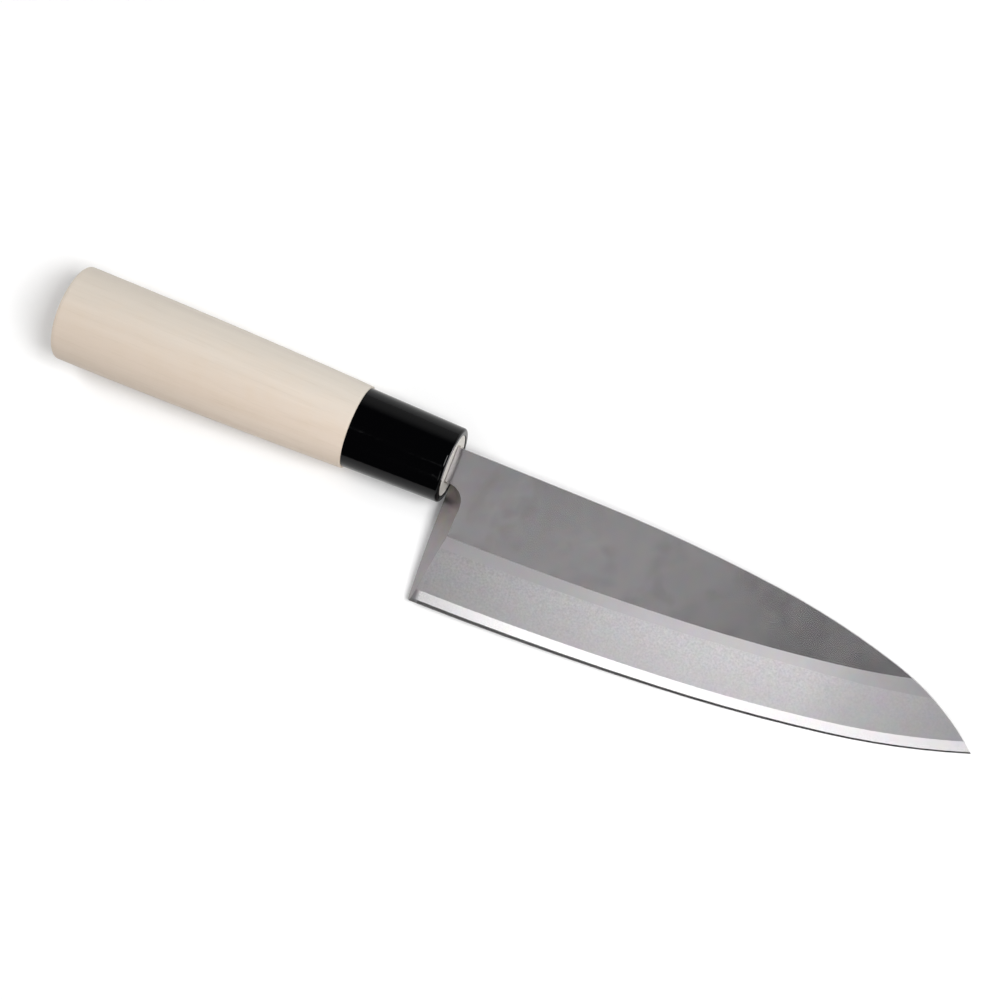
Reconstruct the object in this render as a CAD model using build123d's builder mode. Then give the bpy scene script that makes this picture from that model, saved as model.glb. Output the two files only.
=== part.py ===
"""A deba: a heavy single-bevel kitchen knife for fish, with a stick tang set in a wooden handle.

Millimetres. The knife lies as it does on a table, flat side down, with the tip towards +X and
the edge towards -Y. The origin is on the table, under the middle of the knife.
"""
import os
from math import hypot, sqrt

from build123d import *

# Blade: one piece of stainless steel, ground flat on one side and bevelled on the other
blade_length = 164.5
blade_thickness = 5.0
heel_reach = 40.36
spine_height = 5.7
tip_rise = 20.43
machi_gap = 0.85
heel_lean = 0.75
heel_bow = 0.4
heel_corner_round = 0.6

# The spine leaves its straight stretch, then turns down harder in two steps to the tip
spine_run_shares = (0.261, 0.596, 0.829)
spine_drop_shares = (0.0, 0.113, 0.402)

# The edge bellies in three arcs from the heel to the tip
edge_lean = 1.13
edge_run_shares = (0.464, 0.759)
edge_rise_shares = (0.195, 0.496)

# Bevels, measured in from the edge: a steep micro-bevel that narrows to the tip, the final bevel,
# then the broad one up to the shinogi line
edge_land = 0.15
micro_bevel_width_at_heel = 1.0
micro_bevel_width_at_tip = 0.45
micro_bevel_height_at_heel = 0.62
micro_bevel_height_at_tip = 0.28
final_bevel_width = 2.9
final_bevel_height = 0.95
bevel_width_at_heel = 21.3
bevel_width_at_tip = 19.25

# Heel: a slant up to the blade's face, which runs round the notch under the neck
heel_run_at_notch = 5.95
heel_run_at_corner = 5.3
notch_seat_radius = 0.4
notch_radius = 5.4

# The flat side is hollow-ground on a big wheel, which leaves a flat rim all round
hollow_depth = 0.45
hollow_length = 139.0
hollow_wheel_radius = 320.0
hollow_middle_share = 0.463
hollow_middle_drop = 16.5

# Tang: a tapered stick behind the blade's shoulder, a little thinner than the blade
shoulder_gap = 1.85
neck_drop = 4.8
neck_thickness = 4.4
tang_length = 88.0
tang_end_height = 6.0
tang_end_thickness = 3.0

# Ferrule: an oval ring of black resin over the front of the handle
ferrule_length = 30.0
ferrule_front_height = 22.5
ferrule_front_thickness = 19.1
ferrule_back_height = 24.0
ferrule_back_thickness = 20.0
ferrule_wall = 2.0
ferrule_fit = 0.05
ferrule_rim_round = 0.8
ferrule_bore_round = 0.3

# Handle: magnolia wood, oval, swelling to a domed butt
handle_length = 124.0
handle_front_height = 25.1
handle_front_thickness = 20.8
handle_middle_height = 27.1
handle_middle_thickness = 22.4
handle_butt_height = 28.6
handle_butt_thickness = 23.6
handle_middle_share = 0.49
handle_face_recess = 0.2
handle_shoulder_round = 0.3
butt_dome_radius = 48.0
butt_round = 1.6

# Resin that holds the tang in its socket
resin_gap = 0.5
resin_end = 2.0
resin_recess = 0.5

# One overrun serves all cuts
overrun = 3.0

# Where the edge touches the table, along its last arc
rest_contact_share = 0.44


# The edge, drawn flat: x along the handle's axis from the ferrule's front, y towards the spine
heel_corner = Vector(machi_gap + heel_lean, -heel_reach)
blade_run = sqrt(blade_length**2 - tip_rise**2)
tip = heel_corner + Vector(blade_run, tip_rise)
edge_points = [
    heel_corner + Vector(run * blade_run, rise * tip_rise)
    for run, rise in zip(edge_run_shares, edge_rise_shares)
]

with BuildLine():
    heel_arc = TangentArc(heel_corner, edge_points[0], tangent=Vector(1, 0).rotate(Axis.Z, edge_lean))
    belly_arc = TangentArc(heel_arc @ 1, edge_points[1], tangent=heel_arc % 1)
    tip_arc = TangentArc(belly_arc @ 1, tip, tangent=belly_arc % 1)

# The knife lies on the ferrule's front rim and on the edge, near the tip. In the knife's own
# frame, the table's normal is square to the edge there, and the oval rim just reaches the table.
rest_point = tip_arc @ rest_contact_share
rest_slope = (tip_arc % rest_contact_share).Y / (tip_arc % rest_contact_share).X
rest_reach = rest_point.Y - rest_slope * rest_point.X
flat_side = -blade_thickness / 2
rim_height = ferrule_front_height / 2
rim_thickness = ferrule_front_thickness / 2
square_term = rest_reach**2 - rim_height**2
linear_term = rest_reach * flat_side
constant_term = flat_side**2 - rim_thickness**2
lean = (sqrt(linear_term**2 - square_term * constant_term) - linear_term) / square_term
up = Vector(-rest_slope * lean, lean, 1).normalized()
ahead = (Vector(1, 0, 0) - up * up.X).normalized()
aside = up.cross(ahead)


def turned(direction):
    """A direction of the knife's own frame, as it lies on the table."""
    return Vector(ahead.dot(direction), aside.dot(direction), up.dot(direction))


# The knife's reach on the table, which sets the origin under its middle
butt_rim = -handle_length + butt_dome_radius - sqrt(butt_dome_radius**2 - (handle_butt_height / 2) ** 2)
reach_x = (ahead.dot(Vector(-handle_length, 0, 0)), ahead.dot(tip + Vector(0, 0, flat_side)))
reach_y = (
    aside.dot(heel_corner + Vector(0, 0, flat_side)),
    aside.X * butt_rim + hypot(aside.Y * handle_butt_height / 2, aside.Z * handle_butt_thickness / 2),
)
ground = up.dot(rest_point + Vector(0, 0, flat_side))
knife = Plane(
    origin=(-sum(reach_x) / 2, -sum(reach_y) / 2, -ground),
    x_dir=turned(Vector(1, 0, 0)),
    z_dir=turned(Vector(0, 0, 1)),
)
handle_axis = Axis(knife.origin, knife.x_dir)


def level(at_heel, at_tip):
    """A plane along the blade, by its heights above the flat side at the heel and at the tip."""
    climb = at_tip - at_heel
    return Plane(
        origin=knife.from_local_coords(
            Vector(0, 0, flat_side + at_heel - climb * heel_corner.X / blade_run)
        ),
        x_dir=turned(Vector(blade_run, 0, climb)),
        z_dir=turned(Vector(-climb, 0, blade_run)),
    )


def section(x):
    """A plane across the handle's axis: its x is the knife's height, its y the thickness."""
    return Plane(origin=knife.from_local_coords(Vector(x, 0, 0)), x_dir=knife.y_dir, z_dir=knife.x_dir)


def oval(x, height, thickness):
    """One oval section of the handle or the ferrule."""
    with BuildSketch(section(x)) as outline:
        Ellipse(height / 2, thickness / 2)
    return outline.sketch


def stick_section(x, growth):
    """The tang's section at one place behind the shoulder, grown all round by the resin's gap."""
    share = (shoulder_gap - x) / (tang_length + shoulder_gap)
    neck_height = spine_height + neck_drop
    height = neck_height + (tang_end_height - neck_height) * share
    thickness = neck_thickness + (tang_end_thickness - neck_thickness) * share
    with BuildSketch(section(x)) as outline:
        with Locations(((spine_height - neck_drop) / 2, 0)):
            Rectangle(height + 2 * growth, thickness + 2 * growth)
    return outline.sketch


def beside(arc, share, at_heel, at_tip):
    """A point beside the edge, towards the spine, by a width that changes from heel to tip."""
    place = arc @ share
    width = at_heel + (at_tip - at_heel) * (place.X - heel_corner.X) / blade_run
    return place + (arc % share).rotate(Axis.Z, 90) * width


def bevel_corners(micro_bevel_width, micro_bevel_height, bevel_width):
    """The bevels' corners at one end of the blade, as widths in from the edge and heights."""
    final_width = micro_bevel_width + final_bevel_width
    final_height = edge_land + micro_bevel_height + final_bevel_height
    rise = (blade_thickness + overrun - final_height) / (blade_thickness - final_height)
    return [
        (0, edge_land),
        (micro_bevel_width, edge_land + micro_bevel_height),
        (final_width, final_height),
        (final_width + rise * (bevel_width - final_width), blade_thickness + overrun),
    ]


def beyond_edge(heel_place, tip_place):
    """The air below the bevels on one plane: its border runs beside the edge, past heel and tip."""
    at_heel, heel_height = heel_place
    at_tip, tip_height = tip_place
    with BuildSketch(level(heel_height, tip_height)) as air:
        with BuildLine():
            heel_end = beside(heel_arc, 0, at_heel, at_tip)
            tip_end = beside(tip_arc, 1, at_heel, at_tip)
            before = heel_end - (heel_arc % 0) * (at_heel + overrun)
            after = tip_end + (tip_arc % 1) * (at_tip + overrun)
            floor = -heel_reach - overrun
            Line(before, heel_end)
            for arc in (heel_arc, belly_arc, tip_arc):
                ThreePointArc(*(beside(arc, share, at_heel, at_tip) for share in (0, 0.5, 1)))
            Polyline(tip_end, after, (after.X, floor), (before.X, floor), before)
        make_face()
    return air.sketch


def heel_line(notch_run, corner_run, radius):
    """The heel's line at one height, from the notch to the corner: its start, middle and end."""
    start = Vector(machi_gap + notch_run, -neck_drop - radius)
    end = Vector(machi_gap + heel_lean + corner_run, -heel_reach)
    return start, (start + end) / 2 - Vector(heel_bow, 0), end


def behind_heel(height, notch_run, corner_run, radius):
    """The air behind the heel at one height, from the neck round the notch and down past the edge."""
    start, middle, end = heel_line(notch_run, corner_run, radius)
    with BuildSketch(level(height, height)) as air:
        with BuildLine():
            neck_end = Vector(start.X - radius, -neck_drop)
            RadiusArc(neck_end, start, radius)
            ThreePointArc(start, middle, end)
            Polyline(
                end,
                (end.X, -heel_reach - overrun),
                (-2 * overrun, -heel_reach - overrun),
                (-2 * overrun, -neck_drop),
                neck_end,
            )
        make_face()
    return air.sketch


os.makedirs("parts", exist_ok=True)

# Blade: a plate with the outline of the spine, the tip, the edge and the heel
with BuildPart() as blade:
    spine_points = [
        Vector(heel_corner.X + run * blade_run, spine_height - drop * (spine_height - tip.Y))
        for run, drop in zip(spine_run_shares, spine_drop_shares)
    ]
    with BuildSketch(level(0, 0)) as profile:
        with BuildLine():
            Line((shoulder_gap, spine_height), spine_points[0])
            back_arc = TangentArc(spine_points[0], spine_points[1], tangent=(1, 0))
            point_arc = TangentArc(back_arc @ 1, spine_points[2], tangent=back_arc % 1)
            TangentArc(point_arc @ 1, tip, tangent=point_arc % 1)
            for arc in (heel_arc, belly_arc, tip_arc):
                add(arc)
            ThreePointArc(*heel_line(0, 0, notch_seat_radius))
            Polyline(
                (machi_gap, -neck_drop - notch_seat_radius),
                (machi_gap, -neck_drop),
                (shoulder_gap, -neck_drop),
                (shoulder_gap, spine_height),
            )
        make_face()
        fillet(profile.vertices().sort_by_distance(heel_corner)[0], heel_corner_round)
    extrude(amount=blade_thickness)
    # The bevels, cut from the edge's land up past the shinogi line
    heel_places = bevel_corners(micro_bevel_width_at_heel, micro_bevel_height_at_heel, bevel_width_at_heel)
    tip_places = bevel_corners(micro_bevel_width_at_tip, micro_bevel_height_at_tip, bevel_width_at_tip)
    bevels = [beyond_edge(*places) for places in zip(heel_places, tip_places)]
    loft(bevels, ruled=True, mode=Mode.SUBTRACT)
    # The slanted heel
    slant = (blade_thickness + overrun) / blade_thickness
    heel_air = [
        behind_heel(0, 0, 0, notch_seat_radius),
        behind_heel(
            blade_thickness + overrun,
            slant * heel_run_at_notch,
            slant * heel_run_at_corner,
            notch_seat_radius + slant * (notch_radius - notch_seat_radius),
        ),
    ]
    loft(heel_air, ruled=True, mode=Mode.SUBTRACT)
    # The hollow of the flat side, turned about the wheel's axis below it
    hollow_middle = heel_corner.X + hollow_middle_share * blade_run
    wheel_centre = flat_side + hollow_depth - hollow_wheel_radius
    wheel_side = Plane(
        origin=knife.from_local_coords(Vector(hollow_middle, -hollow_middle_drop, wheel_centre)),
        x_dir=knife.x_dir,
        z_dir=knife.y_dir,
    )
    with BuildSketch(wheel_side):
        with BuildLine():
            rim = hollow_wheel_radius - hollow_depth
            ends = [(-hollow_length / 2, rim), (0, hollow_wheel_radius), (hollow_length / 2, rim)]
            ThreePointArc(*ends)
            Line(ends[2], ends[0])
        make_face()
    revolve(axis=Axis(wheel_side.origin, wheel_side.x_dir), mode=Mode.SUBTRACT)
    # The tang
    loft([stick_section(shoulder_gap, 0), stick_section(-tang_length, 0)], ruled=True)
blade.part.label = "blade"
export_step(blade.part, "parts/blade.step")

# Handle: wood, with a stepped front for the ferrule and a socket for the tang
with BuildPart() as handle:
    swell = [
        oval(-handle_length, handle_butt_height, handle_butt_thickness),
        oval(-handle_length * (1 - handle_middle_share), handle_middle_height, handle_middle_thickness),
        oval(-ferrule_length, handle_front_height, handle_front_thickness),
    ]
    loft(swell)
    # The domed butt, turned about the handle's axis
    past = handle_butt_height / 2 + overrun
    dome_rim = -handle_length + butt_dome_radius - sqrt(butt_dome_radius**2 - past**2)
    behind = -handle_length - overrun
    with BuildSketch(knife):
        with BuildLine():
            RadiusArc((dome_rim, -past), (-handle_length, 0), butt_dome_radius)
            Polyline((dome_rim, -past), (behind, -past), (behind, 0), (-handle_length, 0))
        make_face()
    revolve(axis=handle_axis, mode=Mode.SUBTRACT)
    fillet(handle.faces().sort_by(handle_axis)[0].edges(), butt_round)
    fillet(handle.faces().sort_by(handle_axis)[-1].edges(), handle_shoulder_round)
    # The tenon under the ferrule
    shrink = 2 * (ferrule_wall + ferrule_fit)
    tenon = [
        oval(-ferrule_length, ferrule_back_height - shrink, ferrule_back_thickness - shrink),
        oval(-handle_face_recess, ferrule_front_height - shrink, ferrule_front_thickness - shrink),
    ]
    loft(tenon, ruled=True)
    # The socket
    socket = [stick_section(0, resin_gap), stick_section(-tang_length - resin_end, resin_gap)]
    loft(socket, ruled=True, mode=Mode.SUBTRACT)
handle.part.label = "handle"
export_step(handle.part, "parts/handle.step")

# Ferrule
with BuildPart() as ferrule:
    outside = [
        oval(-ferrule_length, ferrule_back_height, ferrule_back_thickness),
        oval(0, ferrule_front_height, ferrule_front_thickness),
    ]
    loft(outside, ruled=True)
    walls = 2 * ferrule_wall
    inside = [
        oval(-ferrule_length, ferrule_back_height - walls, ferrule_back_thickness - walls),
        oval(0, ferrule_front_height - walls, ferrule_front_thickness - walls),
    ]
    loft(inside, ruled=True, mode=Mode.SUBTRACT)
    rims = ferrule.faces().sort_by(handle_axis)[-1].edges().sort_by(SortBy.LENGTH)
    fillet(rims[-1], ferrule_rim_round)
    fillet(ferrule.faces().sort_by(handle_axis)[-1].edges().sort_by(SortBy.LENGTH)[0], ferrule_bore_round)
ferrule.part.label = "ferrule"
export_step(ferrule.part, "parts/ferrule.step")

# Resin between the tang and its socket
with BuildPart() as tang_resin:
    filling = [stick_section(-resin_recess, resin_gap), stick_section(-tang_length - resin_end, resin_gap)]
    loft(filling, ruled=True)
    loft([stick_section(shoulder_gap, 0), stick_section(-tang_length, 0)], ruled=True, mode=Mode.SUBTRACT)
tang_resin.part.label = "tang_resin"
export_step(tang_resin.part, "parts/tang_resin.step")
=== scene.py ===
"""A deba, a heavy fish knife with a bare wooden handle, lying on a white studio table.

The blade comes first, then the resin round its tang, the handle, the ferrule, and the table with
its lights and camera. Blender works in metres, and the patterns are drawn in millimetres.
"""
import bpy
import math
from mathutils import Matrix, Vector

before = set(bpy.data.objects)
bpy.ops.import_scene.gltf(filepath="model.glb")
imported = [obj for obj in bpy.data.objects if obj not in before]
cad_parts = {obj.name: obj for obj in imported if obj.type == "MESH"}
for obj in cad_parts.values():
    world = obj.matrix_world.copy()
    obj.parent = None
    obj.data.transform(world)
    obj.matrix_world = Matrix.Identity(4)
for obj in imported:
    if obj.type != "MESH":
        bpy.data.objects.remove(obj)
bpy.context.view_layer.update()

# Blade. One bar of stainless steel, forged, ground flat on one side and bevelled on the other.
# The bevel is finished in bands: a stoned cutting edge, a sand-blasted middle and a satin strip
# under the shinogi line. Its stick tang is glued into the handle.

# Where the knife's own frame lies in the room, as in the CAD, and the way that its butt points
KNIFE_ORIGIN_MM = (-20.3373, 12.7719, 9.57)
KNIFE_TILT_DEG = (6.5262, 1.6314, 0.0)
BUTTWARDS = (-0.9996, 0.0, 0.0285)
# The cutting edge's three arcs, from the heel on: centre, radius, and how far along each one ends
EDGE_ARCS_MM = (
    ((-21.183, 1114.676), 1155.261, 77.34),
    ((27.613, 544.575), 583.075, 125.49),
    ((86.367, 199.524), 233.057, 164.83),
)
HEEL_MM = 1.6
BLADE_RUN_MM = 163.23
# How far in from the edge each band ends, at the heel and at the tip
STONED_MM = (3.9, 3.35)
BLASTED_MM = (17.2, 16.75)
SHINOGI_MM = (21.3, 19.25)
# How soft those three borders are, and how far the blasted one wavers where its mask was laid
BORDER_SOFT_MM = (0.08, 0.12, 0.1)
MASK_WAVER_MM = 0.5
# Past this place the blasted band's upper border leaves its straight run, by this much per mm2
BLASTED_BEND_MM = 84.0
BLASTED_BEND = 0.00056


def linear(code):
    """An sRGB hex colour as the linear RGBA that Blender's sockets take."""
    parts = [int(code[i:i + 2], 16) / 255 for i in (1, 3, 5)]
    return [c / 12.92 if c <= 0.04045 else ((c + 0.055) / 1.055) ** 2.4 for c in parts] + [1.0]


# Math and Mix nodes go by socket numbers. A Math node counts its terms from 0. A Mix node has the
# share first, and then a pair of numbers or a pair of colours: the first shows where the share
# is 0, and the second where it is 1.
SHARE = 0
FROM, TO = 2, 3
UNDER, OVER = 6, 7
MIX_NUMBERS = {"data_type": "FLOAT"}
MIX_COLOURS = {"data_type": "RGBA", "out": 2}


def add(tree, kind, sockets, out=0, **settings):
    """Adds one node with its settings, sets or links its sockets, and gives one of its outputs."""
    made = tree.nodes.new("ShaderNode" + kind)
    for name, value in settings.items():
        setattr(made, name, value)
    for socket, value in sockets.items():
        if isinstance(value, bpy.types.NodeSocket):
            tree.links.new(value, made.inputs[socket])
        else:
            made.inputs[socket].default_value = value
    return made.outputs[out] if made.outputs else None


def new_material(name):
    """An empty node material's tree, and the place on the knife in the knife's own frame, in mm.

    Its x runs to the tip, its y to the spine, and its z out of the face that is ground flat."""
    material = bpy.data.materials.new(name)
    material.use_nodes = True
    tree = material.node_tree
    tree.nodes.clear()
    place = add(tree, "Mapping", {
        "Vector": add(tree, "TexCoord", {}, out="Object"),
        "Location": [v / 1000 for v in KNIFE_ORIGIN_MM],
        "Rotation": [math.radians(v) for v in KNIFE_TILT_DEG],
        "Scale": (0.001, 0.001, 0.001),
    }, vector_type="TEXTURE")
    return material, tree, place


def finish_with(name, material):
    """Puts the material on every slot of a CAD piece."""
    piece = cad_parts[name]
    if not piece.material_slots:
        piece.data.materials.append(material)
    for slot in piece.material_slots:
        slot.material = material


# Stainless steel in four finishes. The stoned edge is the smoothest and mirrors a bright streak,
# the blasted band is dull and sparkles with grit, the satin strip and the face are evenly grey,
# and the sawn heel is the dullest.
steel, tree, place = new_material("stoned_and_blasted_stainless_steel")
along = add(tree, "SeparateXYZ", {"Vector": place}, out="X")
across = add(tree, "SeparateXYZ", {"Vector": place}, out="Y")
flat = add(tree, "CombineXYZ", {"X": along, "Y": across})

# How far in from the cutting edge
inset = None
for centre, radius, end in reversed(EDGE_ARCS_MM):
    run = add(tree, "VectorMath", {0: flat, 1: (*centre, 0.0)}, out="Value", operation="DISTANCE")
    reach = add(tree, "Math", {0: radius, 1: run}, operation="SUBTRACT")
    if inset:
        past = add(tree, "Math", {0: along, 1: end}, operation="GREATER_THAN")
        reach = add(tree, "Mix", {SHARE: past, FROM: reach, TO: inset}, **MIX_NUMBERS)
    inset = reach

# The borders between the bands. Each fades from 0 to 1 as the place passes it, away from the edge.
ends = {"Value": along, "From Min": HEEL_MM, "From Max": HEEL_MM + BLADE_RUN_MM}
stoned, blasted, shinogi = [
    add(tree, "MapRange", {**ends, "To Min": at_heel, "To Max": at_tip}, clamp=False)
    for at_heel, at_tip in (STONED_MM, BLASTED_MM, SHINOGI_MM)
]
bend = add(tree, "Math", {0: along, 1: BLASTED_BEND_MM}, operation="SUBTRACT")
bend = add(tree, "Math", {0: bend, 1: 0.0}, operation="MAXIMUM")
bend = add(tree, "Math", {0: bend, 1: bend}, operation="MULTIPLY")
blasted = add(tree, "Math", {0: bend, 1: -BLASTED_BEND, 2: blasted}, operation="MULTIPLY_ADD")
waver = add(tree, "TexNoise", {"Vector": place, "Scale": 0.11, "Detail": 2.0})
blasted = add(tree, "Math", {0: waver, 1: MASK_WAVER_MM, 2: blasted}, operation="MULTIPLY_ADD")
past_stoned, past_blasted, past_satin = [
    add(tree, "MapRange", {
        "Value": add(tree, "Math", {0: inset, 1: border}, operation="SUBTRACT"),
        "From Min": -soft, "From Max": soft,
    }, interpolation_type="SMOOTHSTEP")
    for border, soft in zip((stoned, blasted, shinogi), BORDER_SOFT_MM)
]

# The heel and the notch above it, which face backwards, and the dull first 4 mm of the edge
normal = add(tree, "NewGeometry", {}, out="True Normal")
back = add(tree, "VectorMath", {0: normal, 1: BUTTWARDS}, out="Value", operation="DOT_PRODUCT")
heel = add(tree, "MapRange", {"Value": back, "From Min": 0.3, "From Max": 0.45})
corner = add(tree, "MapRange", {
    "Value": along, "From Min": 3.4, "From Max": 4.6, "To Min": 1.0, "To Max": 0.0,
})
corner = add(tree, "Mix", {SHARE: past_stoned, FROM: corner, TO: 0.0}, **MIX_NUMBERS)
heel = add(tree, "Math", {0: heel, 1: corner}, operation="MAXIMUM")

# Polishing leaves clouds about 15 mm wide, handling leaves smudges of half that, and the steel's
# tint wanders over 4 mm. Blasting grit leaves pits near 0.15 mm, under one pixel, so they are
# drawn 0.6 mm wide.
clouds = add(tree, "TexNoise", {"Vector": place, "Scale": 0.07, "Detail": 3.0, "Roughness": 0.6})
smudges = add(tree, "TexNoise", {"Vector": place, "Scale": 0.13, "Detail": 2.0, "Roughness": 0.5})
tint = add(tree, "TexNoise", {
    "Vector": place, "Scale": 0.25, "Detail": 3.0, "Roughness": 0.7,
}, out="Color")
grit = add(tree, "TexNoise", {"Vector": place, "Scale": 1.6, "Detail": 2.0, "Roughness": 0.6})

# The face is polished grey, with smudges
face = add(tree, "Mix", {
    SHARE: clouds, UNDER: linear("#B9B7BA"), OVER: linear("#D3CFD1"),
}, **MIX_COLOURS)
smudges = add(tree, "MapRange", {
    "Value": smudges, "From Min": 0.5, "From Max": 0.75, "To Max": 0.5,
})
face = add(tree, "Mix", {SHARE: smudges, UNDER: face, OVER: linear("#A9A3A7")}, **MIX_COLOURS)

# The satin strip is painted paler towards the heel, a painted sheen standing in for the light it
# mirrors there
satin = add(tree, "MapRange", {
    "Value": along, "From Min": 5.0, "From Max": 45.0,
}, interpolation_type="SMOOTHSTEP")
satin = add(tree, "Mix", {
    SHARE: satin, UNDER: linear("#D2CFD2"), OVER: linear("#BDBABD"),
}, **MIX_COLOURS)

# The blasted band glitters, and is a little worn in its first 15 mm from the edge
frosted = add(tree, "Mix", {
    SHARE: grit, UNDER: linear("#AAA8AB"), OVER: linear("#E8E5E7"),
}, **MIX_COLOURS)
worn = add(tree, "MapRange", {
    "Value": inset, "From Min": 3.0, "From Max": 15.0, "To Min": 0.45, "To Max": 0.0,
})
frosted = add(tree, "Mix", {SHARE: worn, UNDER: frosted, OVER: linear("#B0AEB1")}, **MIX_COLOURS)

# Both are painted darker towards the tip, a painted shade where they mirror less light
tip_shade = add(tree, "MapRange", {"Value": along, "From Min": 114.0, "From Max": 130.0, "To Max": 0.55})
satin = add(tree, "Mix", {SHARE: tip_shade, UNDER: satin, OVER: linear("#A3A0A3")}, **MIX_COLOURS)
frosted = add(tree, "Mix", {SHARE: tip_shade, UNDER: frosted, OVER: linear("#A9A7AA")}, **MIX_COLOURS)

# The stoned edge is nearly white, with a painted sheen that makes it whitest at the heel and
# greyer towards the tip
painted_edge_sheen = add(tree, "MapRange", {
    "Value": along, "From Min": 15.0, "From Max": 140.0,
}, interpolation_type="SMOOTHSTEP")
painted_edge_sheen = add(tree, "Mix", {
    SHARE: painted_edge_sheen, UNDER: linear("#FFFDFE"), OVER: linear("#DBD8DA"),
}, **MIX_COLOURS)

# The sawn heel is painted darker and browner in its notch under the ferrule, a painted shade
notch_shade = add(tree, "MapRange", {"Value": across, "From Min": -22.0, "From Max": -14.0})
sawn = add(tree, "Mix", {
    SHARE: notch_shade, UNDER: linear("#959193"), OVER: linear("#8B8281"),
}, **MIX_COLOURS)

colour = add(tree, "Mix", {SHARE: past_satin, UNDER: satin, OVER: face}, **MIX_COLOURS)
colour = add(tree, "Mix", {SHARE: past_blasted, UNDER: frosted, OVER: colour}, **MIX_COLOURS)
colour = add(tree, "Mix", {SHARE: past_stoned, UNDER: painted_edge_sheen, OVER: colour}, **MIX_COLOURS)
colour = add(tree, "Mix", {SHARE: heel, UNDER: colour, OVER: sawn}, **MIX_COLOURS)
colour = add(tree, "Mix", {SHARE: 0.1, UNDER: colour, OVER: tint}, **MIX_COLOURS)

rough = add(tree, "MapRange", {
    "Value": clouds, "From Min": 0.3, "From Max": 0.7, "To Min": 0.215, "To Max": 0.235,
})
rough = add(tree, "Mix", {SHARE: past_satin, FROM: 0.3, TO: rough}, **MIX_NUMBERS)
rough = add(tree, "Mix", {SHARE: past_blasted, FROM: 0.33, TO: rough}, **MIX_NUMBERS)
rough = add(tree, "Mix", {SHARE: past_stoned, FROM: 0.24, TO: rough}, **MIX_NUMBERS)
rough = add(tree, "Mix", {SHARE: heel, FROM: rough, TO: 0.5}, **MIX_NUMBERS)
pits = add(tree, "Mix", {SHARE: past_blasted, FROM: grit, TO: 0.5}, **MIX_NUMBERS)
bump = add(tree, "Bump", {"Height": pits, "Strength": 0.12, "Distance": 0.00002})
surface = add(tree, "BsdfPrincipled", {
    "Base Color": colour, "Metallic": 1.0, "Roughness": rough, "Normal": bump,
})
add(tree, "OutputMaterial", {"Surface": surface})
finish_with("blade", steel)

# Resin round the tang. It was poured in as the blade was set, and shows only as a dull ring at
# the mouth of the socket.

# Cured epoxy is clear amber until wood dust gets into it. The dust makes it half matt and a
# shade greyer than the wood, in clouds of 2 mm.
epoxy, tree, place = new_material("cured_amber_epoxy")
haze = add(tree, "TexNoise", {"Vector": place, "Scale": 0.5})
tone = add(tree, "Mix", {
    SHARE: haze, UNDER: linear("#A79F93"), OVER: linear("#BBB3A6"),
}, **MIX_COLOURS)
rough = add(tree, "MapRange", {
    "Value": haze, "From Min": 0.3, "From Max": 0.7, "To Min": 0.38, "To Max": 0.52,
})
surface = add(tree, "BsdfPrincipled", {"Base Color": tone, "Roughness": rough})
add(tree, "OutputMaterial", {"Surface": surface})
finish_with("tang_resin", epoxy)

# Handle. Magnolia, turned oval, swelling to the butt, then sanded and left bare. The wood is
# pale and close-grained, with long faint streaks.

# How far the border between sapwood and the warmer wood wanders
SAPWOOD_WANDER_MM = 10.0

# Bare magnolia is matt and even. Towards the spine it is pale greyish sapwood, and towards the
# edge it turns warmer. Its growth streaks are 2 mm wide and 50 mm long, with a mottle of 5 mm.
# Its real pores are 0.1 mm wide, so they are drawn 0.5 mm wide and 12 mm long.
magnolia, tree, place = new_material("sanded_bare_magnolia")
long_way = add(tree, "Mapping", {"Vector": place, "Scale": (0.02, 0.45, 0.45)})
streaks = add(tree, "TexNoise", {
    "Vector": long_way, "Scale": 1.0, "Detail": 3.0, "Roughness": 0.55,
})
fine_way = add(tree, "Mapping", {"Vector": place, "Scale": (0.08, 2.0, 2.0)})
pores = add(tree, "TexNoise", {"Vector": fine_way, "Scale": 1.0, "Detail": 2.0, "Roughness": 0.6})
mottle = add(tree, "TexNoise", {"Vector": place, "Scale": 0.22, "Detail": 3.0, "Roughness": 0.6})
along = add(tree, "SeparateXYZ", {"Vector": place}, out="X")
height = add(tree, "SeparateXYZ", {"Vector": place}, out="Y")
height = add(tree, "Math", {
    0: mottle, 1: SAPWOOD_WANDER_MM, 2: height,
}, operation="MULTIPLY_ADD")
sapwood = add(tree, "MapRange", {
    "Value": height, "From Min": -2.0, "From Max": 18.0,
}, interpolation_type="SMOOTHSTEP")
streaks = add(tree, "MapRange", {"Value": streaks, "From Min": 0.3, "From Max": 0.7})
mottle = add(tree, "MapRange", {
    "Value": mottle, "From Min": 0.3, "From Max": 0.7, "To Max": 0.5,
})
warm = add(tree, "Mix", {
    SHARE: streaks, UNDER: linear("#D7C6B4"), OVER: linear("#DDCEBE"),
}, **MIX_COLOURS)
warm = add(tree, "Mix", {SHARE: mottle, UNDER: warm, OVER: linear("#DECDBF")}, **MIX_COLOURS)
pale = add(tree, "Mix", {
    SHARE: streaks, UNDER: linear("#D0C8BD"), OVER: linear("#D6CEC3"),
}, **MIX_COLOURS)
tone = add(tree, "Mix", {SHARE: sapwood, UNDER: warm, OVER: pale}, **MIX_COLOURS)
dark_pores = add(tree, "MapRange", {
    "Value": pores, "From Min": 0.55, "From Max": 0.8, "To Max": 0.2,
})
tone = add(tree, "Mix", {SHARE: dark_pores, UNDER: tone, OVER: linear("#B8A996")}, **MIX_COLOURS)
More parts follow.
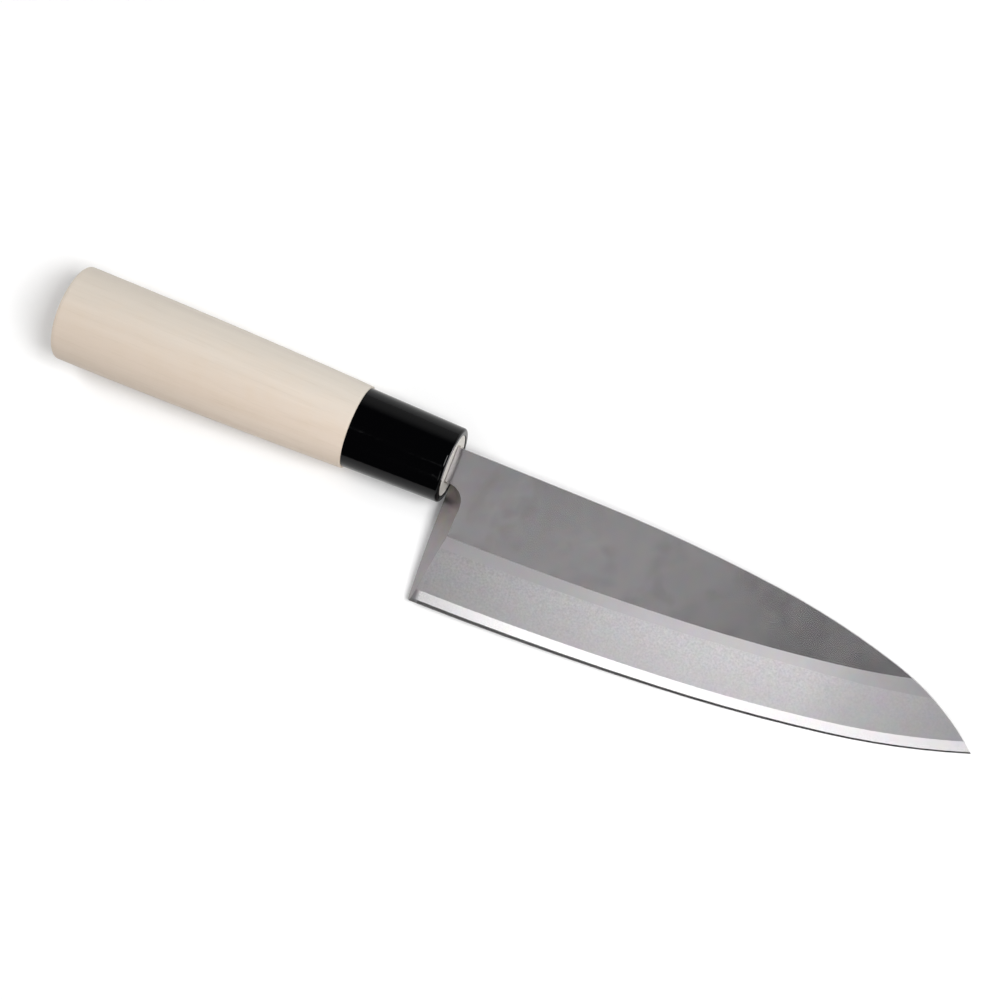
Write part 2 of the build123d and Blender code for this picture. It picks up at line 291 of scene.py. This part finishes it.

# The handle is painted darker towards the butt, a painted shade farther from the key light, and
# the end grain shows pale inside the ferrule's mouth
butt_shade = add(tree, "MapRange", {
    "Value": along, "From Min": -115.0, "From Max": -30.0, "To Min": 0.25, "To Max": 0.0,
})
tone = add(tree, "Mix", {SHARE: butt_shade, UNDER: tone, OVER: linear("#B9AC9C")}, **MIX_COLOURS)
end_grain = add(tree, "MapRange", {"Value": along, "From Min": -1.0, "From Max": -0.4})
tone = add(tree, "Mix", {SHARE: end_grain, UNDER: tone, OVER: linear("#DEDAD3")}, **MIX_COLOURS)
bump = add(tree, "Bump", {"Height": pores, "Strength": 0.08, "Distance": 0.00003})
surface = add(tree, "BsdfPrincipled", {"Base Color": tone, "Roughness": 0.6, "Normal": bump})
add(tree, "OutputMaterial", {"Surface": surface})
finish_with("handle", magnolia)

# Ferrule. A ring of black resin, machined oval with a slight taper, polished and pressed over
# the handle's tenon.

# Polished black resin mirrors its surroundings faintly at the sides and is deep black on top,
# so its IOR is brought down from a resin's usual 1.45. Dust and handling dull it in specks,
# really 0.1 mm wide and drawn 0.5 mm wide.
resin, tree, place = new_material("polished_black_resin")
dust = add(tree, "TexNoise", {"Vector": place, "Scale": 2.0, "Detail": 2.0, "Roughness": 0.6})
rough = add(tree, "MapRange", {
    "Value": dust, "From Min": 0.6, "From Max": 0.8, "To Min": 0.06, "To Max": 0.14,
})
surface = add(tree, "BsdfPrincipled", {
    "Base Color": linear("#020203"), "IOR": 1.27, "Roughness": rough,
})
add(tree, "OutputMaterial", {"Surface": surface})
finish_with("ferrule", resin)

# Table, lights and camera. The knife lies on white laminate under soft boxes, in a dim room with
# pale walls, and the camera looks down on it.

# How far the table reaches each way, and where the camera stands
TABLE_REACH_M = 6.0
LENS_MM = 114.966
LENS_CLEAR_M = 0.05
CAMERA_M = (0.187940, -0.052866, 0.890280)
CAMERA_TURN_DEG = (8.41451, 9.79242, 23.18113)

# White laminate, matt and clean, with a mottle so faint that it only takes off the flatness.
white, tree, place = new_material("white_laminate")
mottle = add(tree, "TexNoise", {"Vector": place, "Scale": 0.05, "Detail": 4.0, "Roughness": 0.6})
tone = add(tree, "Mix", {
    SHARE: mottle, UNDER: linear("#F7F7F7"), OVER: linear("#FDFDFD"),
}, **MIX_COLOURS)
rough = add(tree, "MapRange", {
    "Value": mottle, "From Min": 0.3, "From Max": 0.7, "To Min": 0.7, "To Max": 0.8,
})
surface = add(tree, "BsdfPrincipled", {"Base Color": tone, "Roughness": rough})
add(tree, "OutputMaterial", {"Surface": surface})
mesh = bpy.data.meshes.new("table")
corners = [
    (x * TABLE_REACH_M, y * TABLE_REACH_M, 0.0)
    for x, y in ((-1, -1), (1, -1), (1, 1), (-1, 1))
]
mesh.from_pydata(corners, [], [range(4)])
mesh.materials.append(white)
table = bpy.data.objects.new("table", mesh)
scene = bpy.context.scene
scene.collection.objects.link(table)

# The room is dim overhead, with one pale wall behind the spine and one beyond the butt. Each
# wall shows in the directions that are near enough to its own.
scene.view_settings.view_transform = "Standard"
scene.view_settings.look = "None"
world = bpy.data.worlds.new("dim_studio")
scene.world = world
world.use_nodes = True
tree = world.node_tree
tree.nodes.clear()
towards = add(tree, "TexCoord", {}, out="Generated")
spine_wall = add(tree, "MapRange", {
    "Value": add(tree, "SeparateXYZ", {"Vector": towards}, out="Y"),
    "From Min": 0.7, "From Max": 0.95, "To Min": 0.05, "To Max": 0.8,
}, interpolation_type="SMOOTHSTEP")
butt_wall = add(tree, "MapRange", {
    "Value": add(tree, "SeparateXYZ", {"Vector": towards}, out="X"),
    "From Min": -0.75, "From Max": -0.55, "To Min": 1.2, "To Max": 0.0,
}, interpolation_type="SMOOTHSTEP")
glow = add(tree, "Math", {0: spine_wall, 1: butt_wall}, operation="ADD")
room = add(tree, "Background", {"Strength": glow})
add(tree, "OutputWorld", {"Surface": room})


def soft_box(name, towards, away, size, radiance):
    """One soft box that faces the knife, from a direction and so many metres away."""
    width, depth = size
    light = bpy.data.lights.new(name, "AREA")
    light.shape = "RECTANGLE"
    light.size = width
    light.size_y = depth
    light.energy = radiance * width * depth * math.pi
    box = bpy.data.objects.new(name, light)
    scene.collection.objects.link(box)
    box.location = Vector(towards).normalized() * away
    box.rotation_euler = (-box.location).to_track_quat("-Z", "Y").to_euler()


# These three light the table and the tops, from beyond the tip, from beyond the butt, and from
# above the handle
soft_box("key", towards=(0.53, 0.02, 0.85), away=1.5, size=(0.68, 0.68), radiance=13.4)
soft_box("side", towards=(-0.55, 0.32, 0.75), away=1.6, size=(0.64, 0.64), radiance=4.4)
soft_box("fill", towards=(-0.42, -0.10, 0.90), away=1.3, size=(0.4, 0.5), radiance=1.4)
# These three are there to be mirrored, by the blade's face, by the bevel and by the stoned edge
soft_box("overhead", towards=(-0.082, -0.16, 0.98), away=1.3, size=(0.09, 0.35), radiance=0.9)
soft_box("bevel_box", towards=(0.016, -0.57, 0.82), away=1.3, size=(0.34, 0.33), radiance=2.05)
soft_box("edge_box", towards=(0.104, -0.74, 0.67), away=1.3, size=(0.70, 0.25), radiance=1.8)

eye = bpy.data.cameras.new("camera")
eye.lens = LENS_MM
eye.clip_start = LENS_CLEAR_M
camera = bpy.data.objects.new("camera", eye)
scene.collection.objects.link(camera)
camera.location = CAMERA_M
camera.rotation_euler = [math.radians(v) for v in CAMERA_TURN_DEG]
scene.camera = camera
